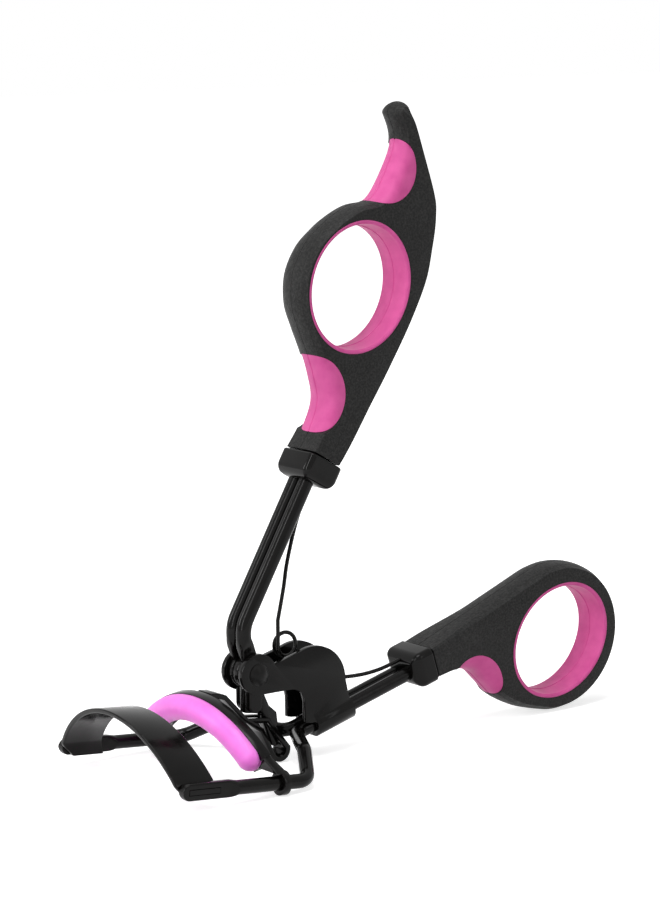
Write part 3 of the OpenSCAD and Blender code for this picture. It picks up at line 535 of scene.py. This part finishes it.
def section(soft, half, crease_run):
    """A blank's section against u: beaded for a soft rest, else creased. A creased edge is nearly
    square at the neck, and reaches its full slope and the crease its place along the two runs."""
    def rows(u):
        """The rows of y and of the step in, at stations u."""
        if soft:
            return bead_rows(half(u), REST_DEPTH + 0 * u)
        edge, crease = EDGE * ramp(u / NECK_RUN, 0.4, 1), ramp(u / crease_run, 0.92, 0.64)
        return edge_rows(half(u), edge, crease)
    return rows


def blank(name, near_side, far_side, round_end, rows, place, stations=150, columns=7):
    """Two sides give v against u, and rows the section of their edges. At each station of u the
    loop goes up the first side's edge, over one face, down the second's and back over the other.
    Stations crowd together along the round end."""
    end = near_side[-1, 0]
    tight = end - round_end * (1 - np.cos(np.radians(np.linspace(90, 0, 14))))
    u = np.concatenate([np.linspace(0, tight[0], stations)[:-1], tight])
    sides = [np.stack([u, np.interp(u, s[:, 0], s[:, 1])], 1) for s in (near_side, far_side)]
    outline = np.concatenate([sides[0], sides[1][-2::-1]])
    t = np.gradient(outline, axis=0)
    t /= np.maximum(np.linalg.norm(t, axis=1, keepdims=True), 1e-9)
    inward = np.stack([-t[:, 1], t[:, 0]], 1)
    half_way = len(u) // 2
    if (sides[1][half_way] - sides[0][half_way]) @ inward[half_way] < 0:
        inward = -inward
    inward[[0, -1], 0] = 0
    normals = inward[:len(u)], inward[len(u) - 1:][::-1]
    half_y, half_step = rows(u)
    y = np.concatenate([-half_y, half_y[:, ::-1]], 1)
    step = np.concatenate([half_step, half_step[:, ::-1]], 1)
    ring = [side[:, None] + step[..., None] * n[:, None] for side, n in zip(sides, normals)]
    mix = np.linspace(0, 1, columns)[1:-1][:, None]
    over = ring[0][:, -1:] * (1 - mix) + ring[1][:, -1:] * mix
    loop = np.concatenate([ring[0], over, ring[1][:, ::-1], over[:, ::-1]], 1)
    face = np.repeat(y[:, -1:], columns - 2, 1)
    across = np.concatenate([y, face, y[:, ::-1], -face], 1)
    skin = start_closed(place(loop[..., 0], loop[..., 1], across))
    return close_up(new_piece(name, skin, grid_faces(*skin.shape[:2])), 0.01)


# %% Upper handle's outline
UPPER_RING, UPPER_R = np.array([-6.8, 29.0]), 12.6   # behind the wires and up along them
UPPER_REST, UPPER_REST_R = np.array([-7.6, 8.3]), 7.0
TAIL_REST, TAIL_REST_R = np.array([-11.8, 50.1]), 6.2
TIP, TIP_R = np.array([-12.5, 60.35]), 2.05
REST_FIT, SPAN = 0.05, 24                            # play of a rest, points to an outline's span


def upper_sides():
    """The back and the front of the upper handle, as distance along the wires and behind them."""
    c, r, b = UPPER_RING, UPPER_R, 12.95
    back = smooth_line([(3.5, 0), (5.4, 12), c + [b, -6], c + [b + 0.1, 1.5], c + [b - 0.4, 8],
                        c + [b - 1.9, 13.3], c + [9.2, 18.6], c + [6.9, 22.4],
                        TIP + [5.65, -2.15], TIP + polar(TIP_R, 60)], SPAN)
    front = smooth_line([TIP + polar(TIP_R, 215), TIP + [1.65, -4.15], TIP + [2.6, -9.05],
                         TIP + [2.2, -15.35], c + polar(r + 2, 119), c + polar(r + 0.9, 134),
                         c + polar(r + 0.2, 149), c + polar(r, 170), c + polar(r, 195),
                         c + polar(r, 220), c + polar(r + 0.2, 241), c + polar(r + 1.6, 259),
                         UPPER_REST + [1.2, 3.9], UPPER_REST + [4, 0.5],
                         UPPER_REST + [4.8, -4.3], (-3.0, 0)], SPAN)
    back = np.concatenate([back, arc(TIP, TIP_R, 61, 90)])
    front = np.concatenate([front[::-1], arc(TIP, TIP_R, 213, 90)])
    return back[:, ::-1], front[:, ::-1]


def upper_blank(name, soft=False):
    """The upper handle's blank: thick at the neck, slimmer at the ring, slimmest at the tail."""
    def half(u):
        """Half the thickness: it falls along the neck, along the tail and at the tip."""
        tail, tip = ramp((u - 43) / 16, 0, 0.2), ramp((u - 60.2) / 2.2, 0, 0.14)
        return HALF_T * (ramp(u / NECK_RUN, 1, RING_SLIM) - tail - tip)
    rows = section(soft, half, crease_run=16)
    return blank(name, *upper_sides(), round_end=TIP_R, rows=rows, place=upper_at)


def at_upper(point):
    """A point of the upper handle's outline in the drawing's x and z."""
    p = upper_at(point[1], point[0])
    return p[0], p[2]


print("upper handle:", round(float(upper_sides()[0][-1, 0]), 1), "mm from neck to tip")

# %% Upper handle and its rests
UPPER_HOLE, UPPER_HOLE_R = np.array(at_upper(UPPER_RING)) + [-0.4, 0.5], 11.45
UPPER_RESTS = (("upper_finger_rest", at_upper(UPPER_REST), UPPER_REST_R),
               ("upper_tail_rest", at_upper(TAIL_REST), TAIL_REST_R))


def upper_oval(points):
    """The upper hole's oval, which is less drawn out than the lower one and stands steeper."""
    return oval(points, along=1.035, across=0.93, lean=62)


upper_handle = upper_blank("upper_handle_skin")
cut(upper_handle, round_tool("hollow", *UPPER_HOLE, UPPER_HOLE_R, shape=upper_oval))
for _, spot, r in UPPER_RESTS:
    cut(upper_handle, round_tool("hollow", *spot, r))
dress(smooth(upper_handle), "upper_handle", "lever_body", grain)

for node, spot, r in UPPER_RESTS:
    hollow = round_tool("hollow", *spot, r - REST_FIT)
    rest = cut(upper_blank(node + "_skin", soft=True), hollow, "INTERSECT")
    dress(smooth(rest), node, "lever_body", rubber)

# %% Lower handle's outline
LOWER_RING, LOWER_R = np.array([93.7, 13.6]), 13.6   # x and z
LOWER_REST, LOWER_REST_R = np.array([73.95, 7.2]), 6.2
OUTER_SHIFT = np.array([0.3, 0.27])                  # the outline's ring against the hole's


def lower_uv(points):
    """Drawing points in x and z as distance along the lower wires and above them."""
    c, s = bearing(LOWER_TILT)
    d = np.asarray(points, float) - LOWER_NECK
    return np.stack([d[..., 0] * c + d[..., 1] * s, d[..., 1] * c - d[..., 0] * s], -1)


def lower_sides(along=1.065):
    """The belly and the top of the lower handle, as distance along the wires and above them. The
    top runs straight until it touches the oval ring, and both end at the ring's farthest point."""
    c, r = LOWER_RING, LOWER_R
    ring = lambda start, stop, n: c + OUTER_SHIFT + oval(arc((0, 0), r, start, stop, n), along, 1.0)
    rear = np.degrees(np.arctan2(*oval(bearing(LOWER_TILT), along, 1.0)[::-1]))
    low, high = lower_at(0, -2.3)[[0, 2]], lower_at(0, 3.5)[[0, 2]]
    to_top = oval(high - c - OUTER_SHIFT, 1 / along, 1.0)
    touch = np.degrees(np.arctan2(to_top[1], to_top[0]) - np.arccos(r / np.linalg.norm(to_top)))
    belly = smooth_line([low, low + [3.4, 0.6], LOWER_REST + [-2.9, 3.8], LOWER_REST + [0.7, 2.7],
                         LOWER_REST + [3.5, 0.1], c + [-13.197, -9.3689], c + [-9.0667, -11.5852],
                         *ring(-112, -97, 2)], SPAN)
    belly = np.concatenate([belly[:-1], ring(-97, rear, 120)])
    straight = np.linspace(high, ring(touch, touch, 1)[0], 30)
    return lower_uv(belly), lower_uv(np.concatenate([straight[:-1], ring(touch, rear, 120)]))


def lower_blank(name, soft=False):
    """The lower handle's blank: thick at the neck, slimmer round the ring."""
    half = lambda u: HALF_T * ramp(u / NECK_RUN, 1, RING_SLIM)
    rows = section(soft, half, crease_run=20)
    return blank(name, *lower_sides(), round_end=6.0, rows=rows, place=lower_at)


print("lower handle:", round(float(lower_sides()[0][-1, 0]), 1), "mm from neck to rear")

# %% Lower handle and its rest
LOWER_HOLE, LOWER_HOLE_R = LOWER_RING + [0.25, -0.1], 11.05

lower_handle = lower_blank("lower_handle_skin")
cut(lower_handle, round_tool("hollow", *LOWER_HOLE, LOWER_HOLE_R, shape=oval))
cut(lower_handle, round_tool("hollow", *LOWER_REST, LOWER_REST_R))
dress(smooth(lower_handle), "lower_handle", "frame_body", grain)

hollow = round_tool("hollow", *LOWER_REST, LOWER_REST_R - REST_FIT)
rest = cut(lower_blank("lower_finger_rest_skin", soft=True), hollow, "INTERSECT")
dress(smooth(rest), "lower_finger_rest", "frame_body", rubber)


# %% [markdown]
# ## Ring liners
# A soft pink ring is pressed into each finger hole. Its bore swells inwards at the middle, so it
# is a profile spun round the ring's axis: the bore is a shallow arch with the mould's parting line
# as a fine ridge, and the rims are flat with softly rounded corners, a hair proud of the handle.

# %% Ring liners
def liner(name, x, z, bore, wall=1.05, half=3.86, inner=0.5, outer=0.16, crown=0.3, fit=0.03,
          **how):
    """Radius against y: the bore is an arch with the parting line as a fine ridge at y = 0, each
    rim is a flat between two quarter circles, and the outer wall is straight."""
    y = np.concatenate([np.linspace(-1, -0.05, 16), [-0.025, 0, 0.025], np.linspace(0.05, 1, 16)])
    ridge = 0.1 * (np.abs(y) < 0.03)
    arch = bore + crown * np.abs(y) ** 1.7 - ridge
    wall_r = bore + wall - fit
    q = np.radians(np.linspace(0, 90, 8))
    rim_r = np.concatenate([bore + crown + inner * (1 - np.cos(q)),
                            wall_r - outer * (1 - np.sin(q))])
    rim_y = half - np.concatenate([inner * (1 - np.sin(q)), outer * (1 - np.cos(q))])
    r = np.concatenate([arch, rim_r, [wall_r], rim_r[::-1]])
    across = np.concatenate([y * (half - 1.1 * inner), rim_y, [0], -rim_y[::-1]])
    return spun(name, x, z, r, across, 192, closed=True, **how)


upper_liner = liner("upper_ring_liner_skin", *UPPER_HOLE, bore=10.4, shape=upper_oval)
dress(smooth(upper_liner), "upper_ring_liner", "lever_body", rubber)
lower_liner = liner("lower_ring_liner_skin", *LOWER_HOLE, bore=10.0, shape=oval)
dress(smooth(lower_liner), "lower_ring_liner", "frame_body", rubber)


# %% [markdown]
# ## Ferrules
# A glossy black collar covers the place where the wires enter each handle. It is a rounded box
# that draws in at both ends: hardly at all against the handle, and with a broad round where the
# wires come out.

# %% Ferrules
def ferrule(name, place, low, high, length=4.9, width=9.4, corner=1.15, top=0.4, foot=2.0, gap=0.3,
            n=14):
    """A rounded rectangle carried along the wires. At each end its sides step in as a quarter
    circle does, and its corner radius shrinks by the same step. A fine gap is left to the handle,
    and the end that faces the handle is open."""
    q = np.radians(np.linspace(0, 90, n))
    u = np.concatenate([foot * (1 - np.cos(q)) - length, top * (np.sin(q) - 1) - gap])[:, None]
    step = np.concatenate([foot * (1 - np.sin(q)), top * (1 - np.cos(q))])[:, None]
    r = np.maximum(corner - step, 0.3)
    around = np.concatenate([q + np.pi / 2 * k for k in range(4)])
    sign = np.repeat([[1, 1], [-1, 1], [-1, -1], [1, -1]], n, 0)
    v = (low + high) / 2 + sign[:, 0] * ((high - low) / 2 - step - r) + r * np.cos(around)
    y = sign[:, 1] * (width / 2 - step - r) + r * np.sin(around)
    skin = start_closed(place(np.broadcast_to(u, v.shape), v, y))
    return close_up(new_piece(name, skin, grid_faces(*skin.shape[:2])))


for node, body, place, low, high in (("upper_ferrule", "lever_body", upper_at, -3.3, 4.1),
                                     ("lower_ferrule", "frame_body", lower_at, -2.7, 3.8)):
    dress(smooth(ferrule(node + "_skin", place, low, high)), node, body, gloss)


# %% [markdown]
# ## Fixed jaw
# The fixed jaw is a strip of sheet metal, arched to the shape of an eyelid and turned down inside
# each rail's tip, with a tab staked into the tip's slot. Its section is a thin box with rounded
# edges that leans forward more the higher it stands, carried along the line of the arch.

# %% Fixed jaw plate
def arch_line(r=22.5, rise=9.8, end_y=18.07, low=-1.43, bend=1.6):
    """Across and up: a wall, a rounded corner, the arch, and the same mirrored. The corner is a
    curve that leaves the arch along its slope and ends straight down."""
    last = np.degrees(np.arcsin((end_y - 0.35 * bend) / r))
    top = arc((0, rise - r), r, 90 + last, 90 - last, 121)
    a, c = top[-1], np.array([end_y, low + 0.6])
    way = a - top[-2]
    corner = a + way * (end_y - a[0]) / way[0]
    t = np.linspace(0, 1, 10)[1:, None]
    turn = a * (1 - t) ** 2 + 2 * corner * t * (1 - t) + c * t ** 2
    down = np.concatenate([turn, [[end_y, low]]])
    return np.concatenate([(down * [-1, 1])[::-1], top, down])


def jaw_plate(name, half=0.45, r=0.28, front=-0.3, back_edge=7.5, front_lean=14.5, back_lean=15.5):
    """The arch's line by a loop round the sheet, whose corners are quarter circles. The front and
    back edges lean by their own angles, and the front corners recede towards the rails. The
    right end, low inside its rail, is open."""
    line = arch_line()
    t = np.gradient(line, axis=0)
    t /= np.linalg.norm(t, axis=1, keepdims=True)
    q = np.radians(np.linspace(0, 90, 6))
    quarter = [half - r + r * np.sin(q), half - r + r * np.cos(q)]
    out = np.concatenate([quarter[0], quarter[1], -quarter[0], -quarter[1]])
    back = r * np.concatenate([np.cos(q) - 1, 1 - np.sin(q), 1 - np.cos(q), np.sin(q) - 1])
    rear = np.repeat([1, 0, 0, 1], 6)
    y, z = line[:, :1] - out * t[:, 1:], line[:, 1:] + out * t[:, :1]
    recede = 1.7 * np.clip((0.9 - z) / 2.1, 0, 1) ** 1.5
    edge = np.where(rear, back_edge - z * np.tan(np.radians(back_lean)),
                    recede + front - z * np.tan(np.radians(front_lean)))
    skin = start_closed(rail_at(edge + back, y, z))
    return close_up(new_piece(name, skin, grid_faces(*skin.shape[:2])))


plate = jaw_plate("front_jaw_plate_skin")
tabs = [box_tool("tab", (1.2, side * 19.25 - 0.85, -0.42), (6.0, 1.7, 0.84), rail_at)
        for side, _ in HANDS]
with bpy.context.temp_override(active_object=plate, selected_editable_objects=[plate, *tabs]):
    bpy.ops.object.join()
dress(smooth(plate), "front_jaw_plate", "frame_body", paint)


# %% [markdown]
# ## Silicone pad
# The pad is a plump bead of silicone with a tongue that holds it in the carrier's channel. Its
# section is swept round the jaw's arch and shrinks as a hemisphere does at both ends.

# %% Silicone pad
JAW_X, JAW_LEAN = 17.2, 15.5    # the open jaw: along the rails, and its lean in degrees


def jaw_at(back, up, y):
    """A point of the sliding jaw: back along its own axis and up its leaning plane."""
    c, s = bearing(JAW_LEAN)
    return rail_at(JAW_X + back * c - up * s, y, back * s + up * c)


def pad(name, half=41.5, arch=23.0, rise=9.6, r=2.25, flat=0.47, tongue=1.5, depth=1.42, n=110):
    """Angle round the arch by a closed section: a circle cut flat behind, with a square tongue.
    Past the last full section it scales as the square root of one less the distance squared."""
    end = np.sin(np.radians(np.linspace(4, 90, 14)))
    past = np.degrees(end * r / arch)
    angle = np.concatenate([-half - past[::-1], np.linspace(-half, half, n), half + past])
    shrink = np.sqrt(np.clip(1 - end ** 2, 0, 1))
    scale = np.concatenate([shrink[::-1], np.ones(n), shrink])[:, None]
    cutoff = np.degrees(np.arcsin(flat / r))
    q = np.radians(np.linspace(180 - cutoff, 360 + cutoff, 44))
    radial = np.concatenate([r * np.cos(q), [tongue] * 3, [-tongue] * 3])
    back = np.concatenate([r * np.sin(q), [flat, 0.9, depth], [depth, 0.9, flat]])
    rho, a = arch + scale * radial, np.radians(angle)[:, None]
    skin = jaw_at(scale * back, rise - arch + rho * np.cos(a), rho * np.sin(a))
    return close_up(new_piece(name, skin, grid_faces(*skin.shape[:2])))


pad_skin = pad("silicone_pad_skin")
dress(smooth(pad_skin, 50), "silicone_pad", "jaw_body", silicone)


# %% [markdown]
# ## Torsion spring
# A thin wire makes one curl behind the pivot and sends a leg to each ferrule, pushing the handles
# apart. The same route as the solid's is sampled finely and a round section is carried along it.

# %% Torsion spring
def spring_route():
    """Lower leg, a helix of 430 degrees round the coil's axis, then the upper leg."""
    coil, coil_r = np.array([34.55, 20.5]), 2.05
    k = np.linspace(0, 1, 44)
    a = np.radians(250 - 430 * k)
    turn = stacked(coil[0] + coil_r * np.cos(a), 0.72 - 1.44 * k, coil[1] + coil_r * np.sin(a))
    lower = lower_at(np.array([-4.7, -6.13, -9.5, -13.5, -18, -23.5]),
                     np.array([2.6, 2.6, 2.8, 3.6, 5.2, 8.2]))
    rising = upper_at(np.array([-18.5, -11.9, -6.13, -4.7]), np.array([3.9, 2.5, 1.95, 1.95]),
                      np.array([-0.3, -0.1, 0, 0]))
    upper = np.concatenate([[[32.55, -0.72, 25.1], [33.95, -0.54, 30.5]], rising])
    curl = smooth_line(np.concatenate([lower[-1:], turn, upper[:1]]), 3)
    return np.concatenate([smooth_line(lower, 12)[:-1], curl, smooth_line(upper, 12)[1:]])


SPRING_R = 0.35
route = spring_route()
level = np.ones(len(route))
spring = swept("torsion_spring_skin", route, SPRING_R * level, SPRING_R * level, 2 * level, 16)
spring.data.materials.append(spring_dark)
smooth(spring)
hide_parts("torsion_spring")
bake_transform(spring)
print("spring length", round(float(np.linalg.norm(np.diff(route, axis=0), axis=1).sum()), 1), "mm")


# %% [markdown]
# ## Sheet metal and small metal
# The bracket, the carrier, the strap and the tail keep the shapes of their solids. A copy of each
# is welded and its edges are broken with a small bevel, as tumbling and paint leave them, because
# a dead sharp edge catches no light. The rivet is spun anew, for its domes need smooth shading.

# %% Sheet metal
def worked(node, body, width):
    """A welded copy of a solid, with each edge sharper than 32 degrees bevelled by so many mm."""
    piece = bpy.data.objects.new(node + "_skin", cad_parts[node].data.copy())
    bpy.context.scene.collection.objects.link(piece)
    work = bmesh.new()
    work.from_mesh(piece.data)
    bmesh.ops.remove_doubles(work, verts=work.verts, dist=0.0005 * MM)
    bmesh.ops.dissolve_limit(work, angle_limit=np.radians(1), verts=work.verts, edges=work.edges)
    work.to_mesh(piece.data)
    work.free()
    if "custom_normal" in piece.data.attributes:
        piece.data.attributes.remove(piece.data.attributes["custom_normal"])
    edge = piece.modifiers.new("broken_edge", "BEVEL")
    edge.width, edge.segments, edge.limit_method = width * MM, 2, "ANGLE"
    edge.angle_limit, edge.miter_outer = np.radians(32), "MITER_ARC"
    return dress(smooth(settle(piece), 50), node, body, paint)


for node, body, width in (("pivot_bracket", "frame_body", 0.16), ("lever_tail", "lever_body", 0.1),
                          ("pad_carrier", "jaw_body", 0.1), ("drive_strap", "jaw_body", 0.1)):
    worked(node, body, width)


# %% Rivet
def rivet(name, face=3.2, shank=1.2, head=1.9, rise=0.9, rim=0.12):
    """A shank with a dome at both ends: each dome is part of a sphere, on a short straight rim."""
    cap = rise - rim
    ball = (head ** 2 + cap ** 2) / (2 * cap)
    reach = np.linspace(np.arcsin(head / ball), 0, 12)
    r = np.concatenate([[shank, head], ball * np.sin(reach)])
    y = np.concatenate([[face, face], face + rise - ball * (1 - np.cos(reach))])
    r, y = np.concatenate([r[::-1], r]), np.concatenate([-y[::-1], y])
    return spun(name, PIVOT[0], PIVOT[2], r, y, 48)


dress(smooth(rivet("pivot_rivet_skin")), "pivot_rivet", "frame_body", satin)

# %% [markdown]
# ## Table and light
# The photograph has a plain white ground and broad soft light. The floor is white paper under the
# same lamps as the curler. Away from the lamps it would turn grey, so to the camera, and in
# reflections, it also glows: less near the curler, where its shadow has to show, and fully white
# farther off. Tall narrow soft boxes draw the long highlights along the glossy wires.

# %% Table
def white_to_rays(nodes, links):
    """1 for rays from the camera, from a reflection or through a clear piece, and 0 for others."""
    path, total = nodes.new("ShaderNodeLightPath"), None
    for ray in ("Is Camera Ray", "Is Glossy Ray", "Is Transmission Ray"):
        node = nodes.new("ShaderNodeMath")
        node.operation = "MAXIMUM"
        node.inputs[1].default_value = 0.0
        links.new(path.outputs[ray], node.inputs[0])
        if total:
            links.new(total, node.inputs[1])
        total = node.outputs[0]
    return total


def table_finish(near=0.72, start=0.08, stop=0.35):
    """White paper, plus a glow that rises from near to 1 with the distance from the middle."""
    material, nodes, links, shader = finish("white_table", (0.8, 0.8, 0.8), 0.9,
                                            Specular_IOR_Level=0.0)
    kinds = ("TexCoord", "VectorMath", "Math")
    place, far, glow = (nodes.new("ShaderNode" + kind) for kind in kinds)
    far.operation, glow.operation = "LENGTH", "MULTIPLY"
    links.new(place.outputs["Object"], far.inputs[0])
    links.new(spread(nodes, links, far.outputs["Value"], near, 1.0, start, stop), glow.inputs[0])
    links.new(white_to_rays(nodes, links), glow.inputs[1])
    shader.inputs["Emission Color"].default_value = (1, 1, 1, 1)
    links.new(glow.outputs[0], shader.inputs["Emission Strength"])
    return material


def table(size=3000.0, n=3):
    """A flat grid at z just below the part."""
    line = np.linspace(-size, size, n)
    skin = stacked(line[:, None] + X_MID, line, -0.02)
    sheet = new_piece("table", skin, grid_faces(n, n, close_cols=False))
    sheet.data.materials.append(table_finish())
    return sheet


floor = table()
print(f"{floor.name}: {len(floor.data.polygons)} faces, stage only")


# %% Lights
def soft_box(name, azimuth, elevation, distance, size, watts):
    """A rectangular lamp on a sphere round the part, facing its middle; distances in metres."""
    (ca, sa), (ce, se) = bearing(azimuth), bearing(elevation)
    back = Vector((sa * ce, -ca * ce, se))
    lamp = bpy.data.lights.new(name, "AREA")
    lamp.shape, lamp.size, lamp.size_y, lamp.energy = "RECTANGLE", size[0], size[1], watts
    box = bpy.data.objects.new(name, lamp)
    bpy.context.scene.collection.objects.link(box)
    box.location = Vector((0, 0, 0.05)) + back * distance
    box.rotation_euler = back.to_track_quat("Z", "Y").to_euler()
    return box


LAMP_DISTANCE, WORLD_LIGHT = 0.7, 0.25
for name, azimuth, elevation, size, watts in (("left_box", -68, 24, (0.07, 0.6), 1.7),
                                              ("right_box", 20, 25, (0.06, 0.5), 0.3),
                                              ("back_box", -122, 20, (0.1, 0.3), 1.3),
                                              ("top_box", -60, 76, (0.4, 0.4), 3.0)):
    lamp = soft_box(name, azimuth, elevation, LAMP_DISTANCE, size, watts)
    print(f"{lamp.name}: {watts} W, {LAMP_DISTANCE} m away")
world = bpy.data.worlds.new("studio")
bpy.context.scene.world = world
world.use_nodes = True
nodes, links = world.node_tree.nodes, world.node_tree.links
sky = nodes["Background"]
glow = spread(nodes, links, white_to_rays(nodes, links), WORLD_LIGHT, 1.0, 0, 1)
links.new(glow, sky.inputs["Strength"])
sky.inputs["Color"].default_value = (1, 1, 1, 1)
bpy.context.scene.view_settings.view_transform = "Standard"
